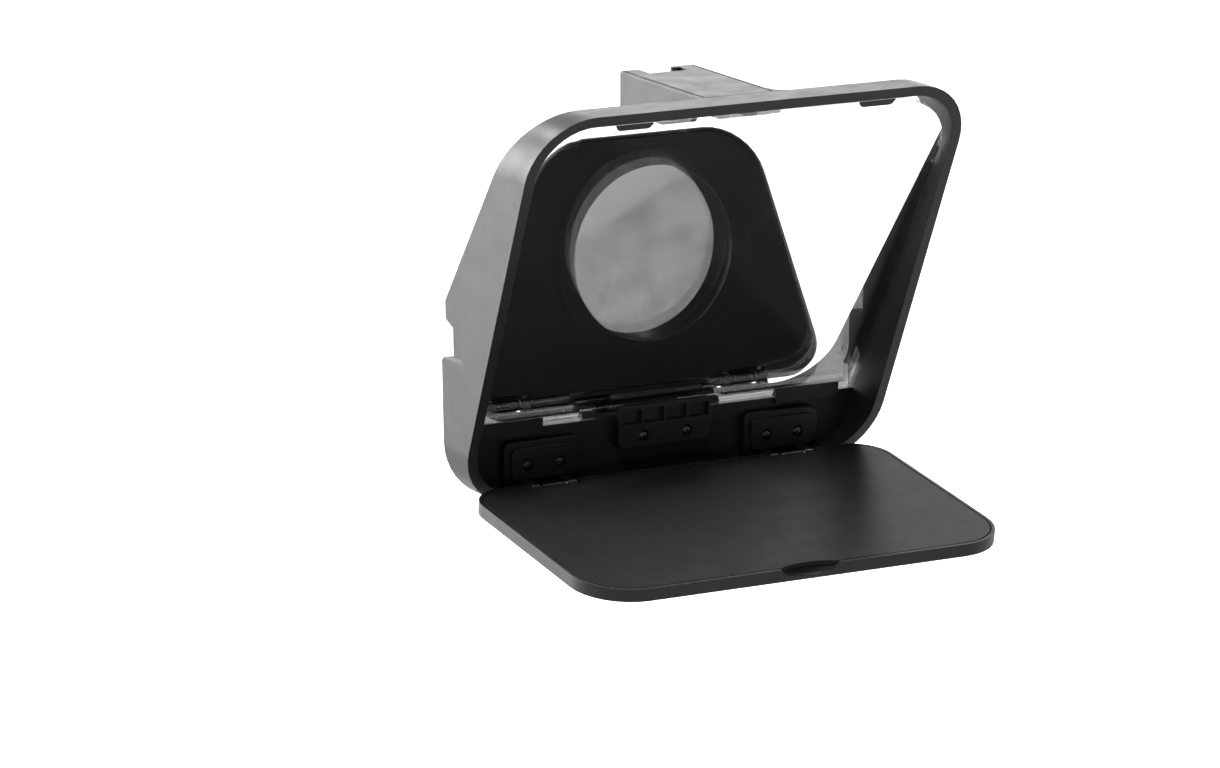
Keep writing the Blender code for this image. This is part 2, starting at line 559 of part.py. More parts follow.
def tray(shell_material, plate_material, hinge_material, axis):
    shell = prism("tray_shell", tray_outline(0.0), "Z", TRAY_BOTTOM, TRAY_TOP, shell_material, axis)
    pocket_floor = TRAY_TOP - PLATE_THICK - GAP
    tools = [prism("tray_pocket", tray_outline(TRAY_RIM), "Z", pocket_floor, TRAY_TOP + 2 * MM, None, axis)]
    plate = prism("tray_top_plate", tray_outline(TRAY_RIM + TRAY_GROOVE), "Z", TRAY_TOP - PLATE_THICK,
                  TRAY_TOP, plate_material, axis)
    notches = [(box_outline(side * HINGE_X - 11.2 * MM, side * HINGE_X + 11.2 * MM, -3.4 * MM, 6 * MM),
                "Z", TRAY_BOTTOM - 2 * MM, TRAY_TOP + 2 * MM) for side in (-1, 1)]
    notch_tool = prisms("tray_hinge_notches", notches, None, axis)
    slots = [(box_outline(side * HINGE_X - 8.3 * MM, side * HINGE_X + 8.3 * MM, -17.3 * MM, -1 * MM),
              "Z", -0.8 * MM, pocket_floor + 0.5 * MM) for side in (-1, 1)]
    tools += [notch_tool, prisms("tray_leaf_slots", slots, None, axis)]
    scoop_tool = ellipsoid("tray_scoop", SCOOP, (0.0, TRAY_FRONT, TRAY_TOP), axis)
    tools.append(scoop_tool)
    for tool in tools:
        boolean(shell, tool)
    boolean(plate, notch_tool)
    boolean(plate, scoop_tool)
    for side, word in ((-1, "left"), (1, "right")):
        leaf = tube_x(f"tray_hinge_leaf_{word}", BARREL_RADIUS, PIN_HOLE, -BARREL_HALF, BARREL_HALF,
                      hinge_material, axis)
        leaf.location = (side * HINGE_X, 0.0, 0.0)
        tongue = prisms(f"leaf_tongue_{word}",
                        [(box_outline(-BARREL_HALF, BARREL_HALF, -17.0 * MM, -1.9 * MM), "Z",
                          -0.5 * MM, pocket_floor - 0.1 * MM)], None, axis)
        tongue.location = leaf.location
        boolean(leaf, tongue, "UNION")


def ellipsoid(name, halves, centre, parent):
    bm = bmesh.new()
    bmesh.ops.create_uvsphere(bm, u_segments=36, v_segments=18, radius=1.0)
    for vert in bm.verts:
        vert.co = [middle + half * value for middle, half, value in zip(centre, halves, vert.co)]
    mesh = bpy.data.meshes.new(name)
    bm.to_mesh(mesh)
    bm.free()
    return link(name, mesh, None, parent)


# ---------------------------------------------------------------- lens board
def lens_board(board_material, metal, screw_material):
    corners = trapezoid(BOARD_BOTTOM, BOARD_HALF_BOTTOM, BOARD_TOP, BOARD_HALF_TOP)
    outline = rounded(corners, [BOARD_RADIUS_BOTTOM] * 2 + [BOARD_RADIUS_TOP] * 2, 8)
    board = prism("lens_board", outline, "Y", BOARD_FRONT, BOARD_BACK, board_material)
    leaf_seat = box_outline(-LEAF_HALF - GAP, LEAF_HALF + GAP, BOARD_BOTTOM - 2 * MM, LEAF_TOP + GAP)
    boolean(board, prism("board_opening", circle(OPENING_RADIUS, (0, 0), 48), "Y", -0.03, 0.01))
    boolean(board, prism("leaf_seat", leaf_seat, "Y", BOARD_FRONT - 2 * MM, BOARD_FRONT + 1.4 * MM))
    room = BRACKET_HALF + 1 * MM
    knuckle_room = box_outline(-room, room, BOARD_BOTTOM - 3 * MM, BOARD_BOTTOM + 1 * MM)
    boolean(board, prism("knuckle_room", knuckle_room, "Y", -0.03, 0.01))
    spots = [(-8.4 * MM, LEAF_SCREW_Z), (8.4 * MM, LEAF_SCREW_Z)]
    holes = [(circle(1.3 * MM, spot, 12), "Y", -0.03, 0.01) for spot in spots]
    boolean(board, prisms("board_screw_holes", holes))

    leaf = tube_x("board_hinge_leaf", 2.4 * MM, PIN_HOLE, -KNUCKLE_HALF, KNUCKLE_HALF, metal)
    leaf.location = (0.0, *BOARD_AXIS)
    front = BOARD_FRONT + 0.1 * MM - BOARD_AXIS[0]
    rear = front + 1.0 * MM
    foot = BOARD_BOTTOM - BOARD_AXIS[1]
    plate = box_outline(front, rear, foot + 0.2 * MM, LEAF_TOP - BOARD_AXIS[1])
    neck = [(front, 0.0), (rear, 1.9 * MM), (rear, foot + 0.7 * MM), (front, foot + 0.7 * MM)]
    tail = [(-1.9 * MM, -0.6 * MM), (-1.9 * MM, -6.4 * MM), (-0.9 * MM, -6.4 * MM), (-0.6 * MM, -1.6 * MM)]
    shapes = (("leaf_plate", plate, LEAF_HALF), ("leaf_neck", neck, KNUCKLE_HALF),
              ("leaf_tail", tail, KNUCKLE_HALF - 0.5 * MM))
    for label, shape, half in shapes:
        tool = prism(label, shape, "X", -half, half)
        tool.location = leaf.location
        boolean(leaf, tool, "UNION")
    shifted = prisms("leaf_screw_holes", holes)
    boolean(leaf, shifted)
    for (x, z), word in zip(spots, ("left", "right")):
        screw = lathe_solid(f"leaf_screw_{word}",
                            [(0.0, -0.9 * MM), (1.7 * MM, -0.9 * MM), (2.1 * MM, -0.4 * MM), (2.1 * MM, 0.0),
                             (1.0 * MM, 0.0), (1.0 * MM, 3.8 * MM), (0.0, 3.8 * MM)], 12, screw_material)
        screw.location = (x, BOARD_FRONT + 0.1 * MM - 0.15 * MM, z)
    groove, step = BOARD_FRONT - GAP, BOARD_BACK + 0.4 * MM
    ring = [(RING_BORE, -15.2 * MM), (RING_FLANGE, -15.2 * MM), (RING_FLANGE, groove), (RING_BODY, groove),
            (RING_BODY, step), (RING_BOSS, step), (RING_BOSS, 0.0), (RING_BORE, 0.0)]
    turned("adapter_ring", ring, 48, metal)
    keeper = [(RING_BOSS + 0.2 * MM, BOARD_BACK + 0.7 * MM), (RING_FLANGE, BOARD_BACK + 0.7 * MM),
              (RING_FLANGE, BOARD_BACK + 2.4 * MM), (RING_BOSS + 0.2 * MM, BOARD_BACK + 2.4 * MM)]
    turned("ring_keeper", keeper, 48, metal)


def centre_hinge(material, metal, screw_material, pin_material):
    """The block in front of the sill, the bracket behind it and the pin of the lens board's hinge."""
    top = -60.5 * MM
    behind = glass_y(top) - 0.8 * MM
    profile = [(-25.5 * MM, -78.0 * MM), (SILL_FRONT - GAP, -78.0 * MM), (SILL_FRONT - GAP, SILL_TOP),
               (behind, SILL_TOP + 0.4 * MM), (behind, top), (-25.5 * MM, top)]
    outline = rounded(box_outline(-CENTRE_HALF, CENTRE_HALF, -78.0 * MM, top), [2.6 * MM] * 4, 6)
    block = prism("centre_hinge_block", outline, "Y", -25.5 * MM, -15.0 * MM, material)
    boolean(block, prism("centre_block_profile", profile, "X", -0.03, 0.03), "INTERSECT")
    pitch = 2 * (CENTRE_HALF - 1.6 * MM) / 4
    windows = []
    for k in range(4):
        x0 = -CENTRE_HALF + 1.6 * MM + k * pitch
        windows.append((box_outline(x0 + 0.6 * MM, x0 + pitch - 0.6 * MM, -67.8 * MM, -62.0 * MM), "Y",
                        -0.030, -23.2 * MM))
    boolean(block, prisms("centre_windows", windows))
    spots = [(-10.0 * MM, -73.0 * MM), (10.0 * MM, -73.0 * MM)]
    cut_countersinks(block, spots, -25.5 * MM, 12 * MM)
    bracket_back = HOOD_BACK_LOW + GAP
    plate = box_outline(bracket_back, bracket_back + 1.6 * MM, -80.0 * MM, -69.2 * MM)
    bracket = prism("rear_hinge_bracket", plate, "X", -BRACKET_HALF, BRACKET_HALF, metal)
    axis_y, axis_z = BOARD_AXIS
    ears = []
    for sign in (-1, 1):
        start, end = sorted((sign * (KNUCKLE_HALF + 0.6 * MM), sign * (BRACKET_HALF - 0.4 * MM)))
        arc = arc_points(BOARD_AXIS, 2.4 * MM, range(0, 181, 20))
        ears.append((arc + [(axis_y - 2.4 * MM, -69.5 * MM), (bracket_back + 0.2 * MM, -69.5 * MM),
                            (bracket_back + 0.2 * MM, -75.0 * MM), (axis_y, -75.0 * MM),
                            (axis_y + 2.4 * MM, -70.0 * MM)], "X", start, end))
    boolean(bracket, prisms("bracket_ears", ears), "UNION")
    boolean(bracket, prism("bracket_bore", circle(PIN_HOLE, BOARD_AXIS, 16), "X", -0.04, 0.04))
    holes = [(circle(1.3 * MM, spot, 12), "Y", -0.03, 0.0) for spot in spots]
    boolean(bracket, prisms("bracket_screw_holes", holes))
    for (x, z), word in zip(spots, ("left", "right")):
        countersunk(f"centre_screw_{word}", x, -25.25 * MM, z, 11.6 * MM, screw_material)
    pin = prism("board_hinge_pin", circle(PIN_RADIUS, (0.0, 0.0), 16), "X", -BRACKET_HALF, BRACKET_HALF,
                pin_material)
    pin.location = (0.0, *BOARD_AXIS)


def main():
    clear_scene()
    black = make_material("black_abs", (0.020, 0.020, 0.022), 0.45)
    tray_black = make_material("tray_abs", (0.030, 0.030, 0.032), 0.40)
    plate_black = make_material("tray_plate", (0.040, 0.040, 0.043), 0.48)
    hinge_black = make_material("hinge_nylon", (0.010, 0.010, 0.011), 0.38)
    board_black = make_material("board_abs", (0.012, 0.012, 0.013), 0.60)
    alloy = make_material("black_alloy", (0.025, 0.025, 0.027), 0.35, 1.0)
    steel = make_material("steel", (0.35, 0.35, 0.36), 0.30, 1.0)
    screw_black = make_material("screw_black", (0.03, 0.03, 0.03), 0.30, 1.0)
    clear = make_material("beam_splitter", (0.85, 0.88, 0.90), 0.02, 0.0, 0.35)

    hood_frame(black)
    glass(clear)
    glass_clips(black)
    glass_rails(hinge_black)
    top_arm(black, screw_black)
    for side, word in ((-1, "left"), (1, "right")):
        tray_hinge_block(side, word, hinge_black, screw_black, steel)
    tray_axis = axis_empty("tray_axis", (0.0, *TRAY_AXIS), TRAY_DROP)
    tray(tray_black, plate_black, alloy, tray_axis)
    lens_board(board_black, alloy, screw_black)
    centre_hinge(hinge_black, alloy, screw_black, steel)


main()
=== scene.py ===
import json
import math

import bmesh
import bpy
from mathutils import Matrix, Vector

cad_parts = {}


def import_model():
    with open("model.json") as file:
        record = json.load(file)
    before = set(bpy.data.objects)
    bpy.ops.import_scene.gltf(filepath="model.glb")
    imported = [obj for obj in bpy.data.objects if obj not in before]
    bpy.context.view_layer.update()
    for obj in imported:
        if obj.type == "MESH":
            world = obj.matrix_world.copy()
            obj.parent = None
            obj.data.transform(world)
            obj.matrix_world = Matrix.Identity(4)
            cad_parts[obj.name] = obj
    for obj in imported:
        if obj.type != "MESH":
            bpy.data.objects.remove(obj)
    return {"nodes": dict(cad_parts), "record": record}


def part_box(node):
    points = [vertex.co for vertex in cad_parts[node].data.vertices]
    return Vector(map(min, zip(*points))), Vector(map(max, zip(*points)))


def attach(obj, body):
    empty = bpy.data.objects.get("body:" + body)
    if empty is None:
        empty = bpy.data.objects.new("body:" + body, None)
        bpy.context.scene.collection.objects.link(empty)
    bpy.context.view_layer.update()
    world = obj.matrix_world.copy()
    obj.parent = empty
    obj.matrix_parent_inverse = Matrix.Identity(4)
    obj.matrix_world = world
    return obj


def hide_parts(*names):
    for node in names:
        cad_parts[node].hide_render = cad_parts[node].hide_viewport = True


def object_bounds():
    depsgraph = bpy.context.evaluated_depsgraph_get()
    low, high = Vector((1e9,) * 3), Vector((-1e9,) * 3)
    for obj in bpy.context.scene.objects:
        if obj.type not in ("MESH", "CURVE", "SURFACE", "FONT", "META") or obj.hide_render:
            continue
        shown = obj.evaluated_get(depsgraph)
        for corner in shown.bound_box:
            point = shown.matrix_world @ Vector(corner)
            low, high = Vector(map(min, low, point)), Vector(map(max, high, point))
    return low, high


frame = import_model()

CAD_BOX = [list(corner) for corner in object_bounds()]
NODES = frame["nodes"]
RECORD = frame["record"]
BODY_OF = {node: body for body, members in RECORD["behaviour"]["bodies"].items() for node in members}
SLOT_OF = {row["node"]: row["material_slot"] for row in RECORD["subparts"]}
MM = 0.001
WHITE = (1.0, 1.0, 1.0)

# The photo's viewpoint, in the frame's metres
CAMERA_AT = Vector((-1.0801, -2.0175, 0.4821))
CAMERA_LOOK = Vector((0.45536, 0.86017, -0.22969))
CAMERA_LENS = 168.5

# Studio
FLOOR_DROP = 0.33                    # floor below the part's lowest point
FLOOR_HALF = 14.0
FLOOR_GLOW = (0.12, 0.9)             # for rays that only carry light, and for the camera and mirrors
BACKDROP_GLOW = 1.05
TRAY_MIDDLE = (0.0, -0.07, -0.09)
SOFTBOXES = (                        # name, place, aim, size and watts
    ("back_left_softbox", (-1.6, 1.9, 0.35), (0.0, 0.0, 0.0), (1.4, 1.6), 72.0),
    ("back_top_strip", (-0.4, 2.1, 1.25), TRAY_MIDDLE, (0.5, 0.35), 14.0),
    ("high_back_softbox", (1.1, 0.75, 2.0), TRAY_MIDDLE, (0.35, 0.35), 28.0),
    ("front_top_softbox", (-0.35, -0.55, 1.0), TRAY_MIDDLE, (0.6, 0.6), 6.0),
)
ROOM_GLOW = (                        # along one axis of the direction: from, to, and the glow at each
    ("Y", -0.5, 0.9, 0.08, 6.0),
    ("Z", 0.2, 0.45, 1.0, 0.08),
    ("X", 0.42, 0.75, 1.0, 0.3),
)

# Finish
COATING_MIRROR = (0.745, 0.750)      # mirror's share of the glass's coating, clean and dusty
EDGE_WIDTH = 0.2 * MM                # rounding of a piece's edges, where EDGE_WIDTHS has no other
EDGE_WIDTHS = {"hood_frame": 0.6 * MM, "top_arm": 0.3 * MM, "tray_shell": 1.0 * MM,
               "tray_top_plate": 0.25 * MM, "lens_board": 0.6 * MM}
EDGE_ANGLE = math.radians(28.0)      # flatter edges aren't rounded
SAME_PLANE = math.radians(0.6)       # CAD faces this near to one plane are joined
SAME_POINT = 2e-6
JOIN = 1.0 * MM                      # joined pieces run this far into each other

# Holes and screws
SCREW_HOLE, ARM_HOLE, BOARD_OPENING = 1.3 * MM, 1.5 * MM, 41.0 * MM
HOLE_SIDES, RING_SIDES = 32, 144
SINK_RADIUS, SINK_DEPTH, SINK_END = 2.4 * MM, 0.8 * MM, 1.9 * MM
SCREW_TURN = math.radians(17)        # how far the cross recesses are turned
SCREW_PITCH = 0.5 * MM
SCREW_CREST, SCREW_ROOT = 0.98 * MM, 0.84 * MM
RECESS_HALF = 0.24 * MM

# Tray hinge blocks
TRAY_DROP = math.radians(7.6)        # the open tray slopes down towards the presenter
STOP_NOSE = [(-1.0, -2.0), (-3.1, -2.85), (-7.5, -2.85), (-7.5, -3.6),
             (-6.8, -4.3), (1.0, -4.3), (2.0, -1.5)]  # in mm, in the open tray's frame
BLOCK_FOOT = 4.6 * MM                # above the hood's underside
BLOCK_THICK, BLOCK_RADIUS = 3.8 * MM, 3.5 * MM
PANEL_SIDE, PANEL_FOOT, PANEL_HEAD = 2.9 * MM, 3.0 * MM, 2.4 * MM
PANEL_RISE, PANEL_RADIUS = 1.3 * MM, 2.4 * MM
EAR_NEAR, EAR_FAR = 6.4 * MM, 10.4 * MM  # an ear's sides, from the block's middle
EAR_RADIUS, EAR_HEEL = 2.6 * MM, 3.3 * MM
PIN_HOLE, PIN_HOLE_SIDES = 1.45 * MM, 24

# Centre block
BASE_HEAD, FRAME_FOOT = 1.0 * MM, 6.0 * MM  # below the glass's lower edge
FRAME_THIN = 3.1 * MM                # the frame ends this far before the base's back
WINDOWS, WINDOW_BAR = 4, 1.3 * MM
WINDOW_LOW, WINDOW_HIGH = 7.3 * MM, 1.4 * MM  # below the block's top
WINDOW_DEPTH = 2.1 * MM

# Adapter ring and keeper, inwards from the ring's outer radius
RING_BORE, RING_BOSS, RING_SEAT, KEEPER_BORE = 8.0 * MM, 5.6 * MM, 3.4 * MM, 5.4 * MM
LENS_PITCH, BAFFLE_PITCH = 0.75 * MM, 1.2 * MM
KNURL_STEPS, KNURL_GROOVE = 4, 0.992  # steps for each tooth, and the share of the radius in a groove


# ---------------------------------------------------------------- material tools
class Graph:
    """Short calls for building a tree of shader nodes."""

    def __init__(self, tree, coords):
        self.tree = tree
        self.coords = self.add("ShaderNodeTexCoord").outputs[coords]

    def feed(self, socket, value):
        """Gives an input a number, a colour, a vector or another node's output."""
        if isinstance(value, tuple):
            socket.default_value = (*value, 1.0) if socket.type == "RGBA" else value
        elif isinstance(value, (int, float)):
            socket.default_value = value
        else:
            self.tree.links.new(value, socket)

    def add(self, kind, inputs=None, **settings):
        node = self.tree.nodes.new(kind)
        for key, value in settings.items():
            setattr(node, key, value)
        for key, value in (inputs or {}).items():
            self.feed(node.inputs[key], value)
        return node

    def noise(self, scale, detail=3.0, roughness=0.5, coords=None):
        node = self.add("ShaderNodeTexNoise", {"Scale": scale, "Detail": detail, "Roughness": roughness,
                                               "Vector": coords or self.coords})
        return node.outputs["Fac"]

    def pebbles(self, scale):
        node = self.add("ShaderNodeTexVoronoi", {"Vector": self.coords}, feature="SMOOTH_F1")
        self.feed(node.inputs["Scale"], scale)
        return node.outputs["Distance"]

    def remap(self, value, low, high, to_low=0.0, to_high=1.0):
        node = self.add("ShaderNodeMapRange", {"Value": value, "From Min": low, "From Max": high,
                                               "To Min": to_low, "To Max": to_high})
        return node.outputs["Result"]

    def math(self, operation, a, b, clamp=False):
        node = self.add("ShaderNodeMath", {0: a, 1: b}, operation=operation, use_clamp=clamp)
        return node.outputs["Value"]

    def mix(self, share, a, b):
        return self.add("ShaderNodeMix", {"Factor": share, 6: a, 7: b}, data_type="RGBA").outputs[2]

    def bump(self, height, strength, distance):
        node = self.add("ShaderNodeBump", {"Strength": strength, "Distance": distance, "Height": height})
        return node.outputs["Normal"]

    def edge_share(self, radius):
        """0 on flat stretches, rising towards 1 along convex and concave edges."""
        bevel = self.add("ShaderNodeBevel", {"Radius": radius}, samples=6)
        geometry = self.add("ShaderNodeNewGeometry")
        dot = self.add("ShaderNodeVectorMath", {0: bevel.outputs["Normal"], 1: geometry.outputs["Normal"]},
                       operation="DOT_PRODUCT")
        return self.remap(dot.outputs["Value"], 0.995, 0.80)

    def seen_sharply(self):
        """1 for rays from the camera and from a mirror, 0 for the rays that only carry light."""
        path = self.add("ShaderNodeLightPath")
        return self.math("MAXIMUM", path.outputs["Is Camera Ray"], path.outputs["Is Singular Ray"])


class MaterialGraph(Graph):
    """The nodes of a new material."""

    def __init__(self, name):
        self.material = bpy.data.materials.new(name)
        self.material.use_nodes = True
        super().__init__(self.material.node_tree, "Object")
        self.shader = self.tree.nodes["Principled BSDF"]

    def set(self, values):
        for key, value in values.items():
            self.feed(self.shader.inputs[key], value)


def shaded(colour, factor):
    return tuple(min(1.0, c * factor) for c in colour)


def moulded_plastic(name, colour, wear_and_highlight, roughness, grain=2600.0, specular=0.3):
    """Spark-eroded moulded plastic: a fine pebbled grain, faint mottling and rubbed edges, lightened partly
    as wear and partly as a painted highlight.
    """
    g = MaterialGraph(name)
    height = g.math("ADD", g.pebbles(grain), g.math("MULTIPLY", g.noise(grain * 1.7, 2.0), 0.5))
    mottling = g.remap(g.noise(28.0, 4.0, 0.6), 0.3, 0.7)
    base = g.mix(mottling, shaded(colour, 0.86), shaded(colour, 1.14))
    patches = g.remap(g.noise(260.0, 3.0), 0.35, 0.7)
    # Rubbed edges: patchy wear, and also a painted highlight along the rounded edges, strongest on the tray.
    rubbed_and_highlit = g.math("MULTIPLY", g.edge_share(0.5 * MM), patches, clamp=True)
    smudges = g.remap(g.noise(95.0, 5.0, 0.65), 0.3, 0.72, roughness - 0.045, roughness + 0.05)
    g.set({"Base Color": g.mix(g.math("MULTIPLY", rubbed_and_highlit, 0.45), base, wear_and_highlight),
           "Roughness": g.math("SUBTRACT", smudges, g.math("MULTIPLY", rubbed_and_highlit, 0.10)),
           "Normal": g.bump(height, 0.35, 0.02 * MM),
           "Specular IOR Level": specular})
    return g.material


def machined_metal(name, colour, roughness, stretch, wear_and_highlight=0.05):
    """Anodised or plain metal with fine tool marks, stretched along the tool's way."""
    g = MaterialGraph(name)
    mapping = g.add("ShaderNodeMapping", {"Scale": stretch, "Vector": g.coords})
    marks = g.noise(900.0, 4.0, 0.6, mapping.outputs["Vector"])
    base = g.mix(g.remap(marks, 0.3, 0.7), shaded(colour, 0.85), shaded(colour, 1.15))
    # Edges lightened towards a bright colour: bare-metal wear, and on the screws a painted glint on the
    # heads.
    edge_wear_and_glint = tuple(min(1.0, c * 2.2 + wear_and_highlight) for c in colour)
    g.set({"Base Color": g.mix(g.math("MULTIPLY", g.edge_share(0.25 * MM), 0.5), base, edge_wear_and_glint),
           "Metallic": 1.0,
           "Roughness": g.remap(g.noise(4200.0, 2.0), 0.3, 0.7, roughness - 0.04, roughness + 0.06),
           "Normal": g.bump(marks, 0.2, 0.01 * MM)})
    return g.material


def window_and_mirror(name, window_tint, mirror_tint, roughness, mirror_share):
    """A glass face: clear window and mirror, mixed by mirror_share(graph)."""
    g = MaterialGraph(name)
    g.tree.nodes.remove(g.shader)
    window = g.add("ShaderNodeBsdfTransparent", {"Color": window_tint})
    mirror = g.add("ShaderNodeBsdfGlossy", {"Color": mirror_tint, "Roughness": roughness})
    both = g.add("ShaderNodeMixShader", {"Fac": mirror_share(g), 1: window.outputs["BSDF"],
                                         2: mirror.outputs["BSDF"]})
    g.feed(g.tree.nodes["Material Output"].inputs["Surface"], both.outputs["Shader"])
    return g.material


def coating_share(g):
    """The half-silvered face's mirror: about three quarters, and a trace more under dust."""
    return g.remap(g.noise(60.0, 6.0, 0.7), 0.60, 0.80, *COATING_MIRROR)


def plain_share(g):
    """The mirror of the plain back face and the ground edge, a little streaked."""
    fresnel = g.add("ShaderNodeFresnel", {"IOR": 1.3})
    return g.math("MULTIPLY", fresnel.outputs["Fac"], g.remap(g.noise(80.0, 4.0), 0.3, 0.7, 0.5, 0.7))


def make_materials():
    turned, drawn = (9.0, 1.0, 9.0), (0.15, 1.0, 1.0)
    return {
        "black_abs": moulded_plastic("hood_plastic", (0.016, 0.016, 0.017), (0.07, 0.07, 0.073), 0.42),
        # The tray's edge colour is lighter than wear alone, as a painted highlight along its rim.
        "tray_abs": moulded_plastic("tray_plastic", (0.014, 0.014, 0.0147), (0.16, 0.16, 0.165), 0.36),
        "tray_plate": moulded_plastic("tray_plate_plastic", (0.017, 0.017, 0.018), (0.05, 0.05, 0.052), 0.41,
                                      grain=3400.0, specular=0.15),
        "hinge_nylon": moulded_plastic("hinge_nylon", (0.009, 0.009, 0.0095), (0.05, 0.05, 0.052), 0.34),
        "board_abs": moulded_plastic("board_plastic", (0.008, 0.008, 0.0085), (0.03, 0.03, 0.031), 0.52),
        "black_alloy": machined_metal("black_anodised", (0.028, 0.028, 0.030), 0.36, turned),
        "steel": machined_metal("plain_steel", (0.45, 0.45, 0.46), 0.30, drawn),
        # The screws' large edge lift paints glints on their heads and recesses.
        "screw_black": machined_metal("black_oxide", (0.09, 0.09, 0.093), 0.24, drawn, wear_and_highlight=0.5),
    }


# ---------------------------------------------------------------- mesh tools
def in_scene(name, data):
    item = bpy.data.objects.new(name, data)
    bpy.context.scene.collection.objects.link(item)
    return item


def piece_from(name, bm):
    mesh = bpy.data.meshes.new(name)
    bm.to_mesh(mesh)
    bm.free()
    return in_scene(name, mesh)


def new_piece(name, bm):
    bmesh.ops.recalc_face_normals(bm, faces=bm.faces)
    return piece_from(name, bm)


def finished(item, node, material=None, angle=32.0):
    """Finishes a piece: its material, smooth shading and body, and hides the CAD node that it stands for."""
    if material is not None:
        item.data.materials.clear()
        item.data.materials.append(material)
    item.data.shade_smooth()
    item.data.set_sharp_from_angle(angle=math.radians(angle))
    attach(item, BODY_OF[node])
    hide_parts(node)


def flatten_shading(item):
    shading = item.modifiers.new("flat_faces", "WEIGHTED_NORMAL")
    shading.keep_sharp = True
    shading.weight = 100


def apply_modifiers(item):
    depsgraph = bpy.context.evaluated_depsgraph_get()
    mesh = bpy.data.meshes.new_from_object(item.evaluated_get(depsgraph))
    item.modifiers.clear()
    item.data = mesh


def cut(item, tool, operation="DIFFERENCE"):
    modifier = item.modifiers.new("cut", "BOOLEAN")
    modifier.operation = operation
    modifier.solver = "EXACT"
    modifier.object = tool
    apply_modifiers(item)
    bpy.data.objects.remove(tool)


# World coordinates of a point p of an outline at depth d along an axis
PLACE = {
    "X": lambda p, d: (d, p.x, p.y),
    "Y": lambda p, d: (p.x, d, p.y),
    "Z": lambda p, d: (p.x, p.y, d),
}


def box(a0, a1, b0, b1):
    return [(a0, b0), (a1, b0), (a1, b1), (a0, b1)]


def circle(a, b, radius, count):
    turns = [2 * math.pi * k / count for k in range(count)]
    return [Vector((a + radius * math.cos(turn), b + radius * math.sin(turn))) for turn in turns]


def rounded(corners, radii, steps=6):
    """A closed outline with each corner replaced by a tangent arc."""
    points = []
    for i, (corner, radius) in enumerate(zip(corners, radii)):
        here = Vector(corner)
        to_before = (Vector(corners[i - 1]) - here).normalized()
        to_after = (Vector(corners[(i + 1) % len(corners)]) - here).normalized()
        if radius <= 0.0:
            points.append(here)
            continue
        half = to_before.angle(to_after) / 2
        centre = here + (to_before + to_after).normalized() * (radius / math.sin(half))
        start = here + to_before * (radius / math.tan(half)) - centre
        end = here + to_after * (radius / math.tan(half)) - centre
        turn = start.angle_signed(end)
        for k in range(steps + 1):
            angle = -turn * k / steps
            points.append(centre + Matrix.Rotation(angle, 2) @ start)
    return points


def inset(outline, distance):
    """The outline moved inwards along its corner bisectors."""
    count = len(outline)
    area = sum(outline[i].cross(outline[(i + 1) % count]) for i in range(count))
    turn = 1.0 if area > 0 else -1.0
    moved = []
    for i, point in enumerate(outline):
        a = (point - outline[i - 1]).normalized()
        b = (outline[(i + 1) % count] - point).normalized()
        normal = Vector((-(a.y + b.y), a.x + b.x)) * turn
        length = max(normal.length, 1e-9)
        moved.append(point + normal / length * distance / max(0.3, length / 2))
    return moved


def stacked(bm, axis, layers):
    """Adds a closed solid from (outline, depth) layers along an axis."""
    rings = [[bm.verts.new(PLACE[axis](p, depth)) for p in outline] for outline, depth in layers]
    bm.faces.new(rings[0])
    bm.faces.new(rings[-1])
    for here, after in zip(rings, rings[1:]):
        for i in range(len(here)):
            j = (i + 1) % len(here)
            bm.faces.new((here[i], here[j], after[j], after[i]))


def soft_prism(bm, corners, radii, axis, low, high, edge, steps=3):
    """Adds a closed prism along an axis whose end edges are rounded by edge."""
    outline = rounded(corners, radii)
    angles = [math.pi / 2 * k / steps for k in range(steps + 1)]
    rows = [(edge * (1 - math.sin(angle)), low + edge * (1 - math.cos(angle))) for angle in angles]
    rows += [(edge * (1 - math.cos(angle)), high - edge * (1 - math.sin(angle))) for angle in angles]
    stacked(bm, axis, [(inset(outline, step), depth) for step, depth in rows])


def prism_piece(name, *prism):
    """A new piece that is one soft prism."""
    bm = bmesh.new()
    soft_prism(bm, *prism)
    return new_piece(name, bm)


def turned_rows(bm, profile, count, scale=None):
    """Vertices of a (radius, y) profile at count turns about the Y axis; scale(k, i) changes a radius."""
    rows = []
    for k in range(count):
        angle = 2 * math.pi * k / count
        row = []
        for i, (radius, y) in enumerate(profile):
            r = radius * scale(k, i) if scale else radius
            row.append(bm.verts.new((r * math.cos(angle), y, r * math.sin(angle))))
        rows.append(row)
    return rows


def lathe(name, profile, count, scale=None):
    """A ring turned about the Y axis from a closed (radius, y) profile."""
    bm = bmesh.new()
    rows = turned_rows(bm, profile, count, scale)
    for k in range(count):
        here, after = rows[k], rows[(k + 1) % count]
        for i in range(len(profile)):
            j = (i + 1) % len(profile)
            bm.faces.new((here[i], here[j], after[j], after[i]))
    return new_piece(name, bm)


def spindle(name, profile, count):
    """A solid turned about the Y axis from a (radius, y) profile whose two ends lie on the axis."""
    bm = bmesh.new()
    ends = [bm.verts.new((0.0, profile[0][1], 0.0)), bm.verts.new((0.0, profile[-1][1], 0.0))]
    rows = turned_rows(bm, profile[1:-1], count)
    for k in range(count):
        here, after = rows[k], rows[(k + 1) % count]
        bm.faces.new((ends[0], here[0], after[0]))
        bm.faces.new((ends[1], after[-1], here[-1]))
        for i in range(len(here) - 1):
            bm.faces.new((here[i], here[i + 1], after[i + 1], after[i]))
    return new_piece(name, bm)


# ---------------------------------------------------------------- pieces made from the CAD's meshes
def centre(node):
    low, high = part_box(node)
    return (low + high) / 2


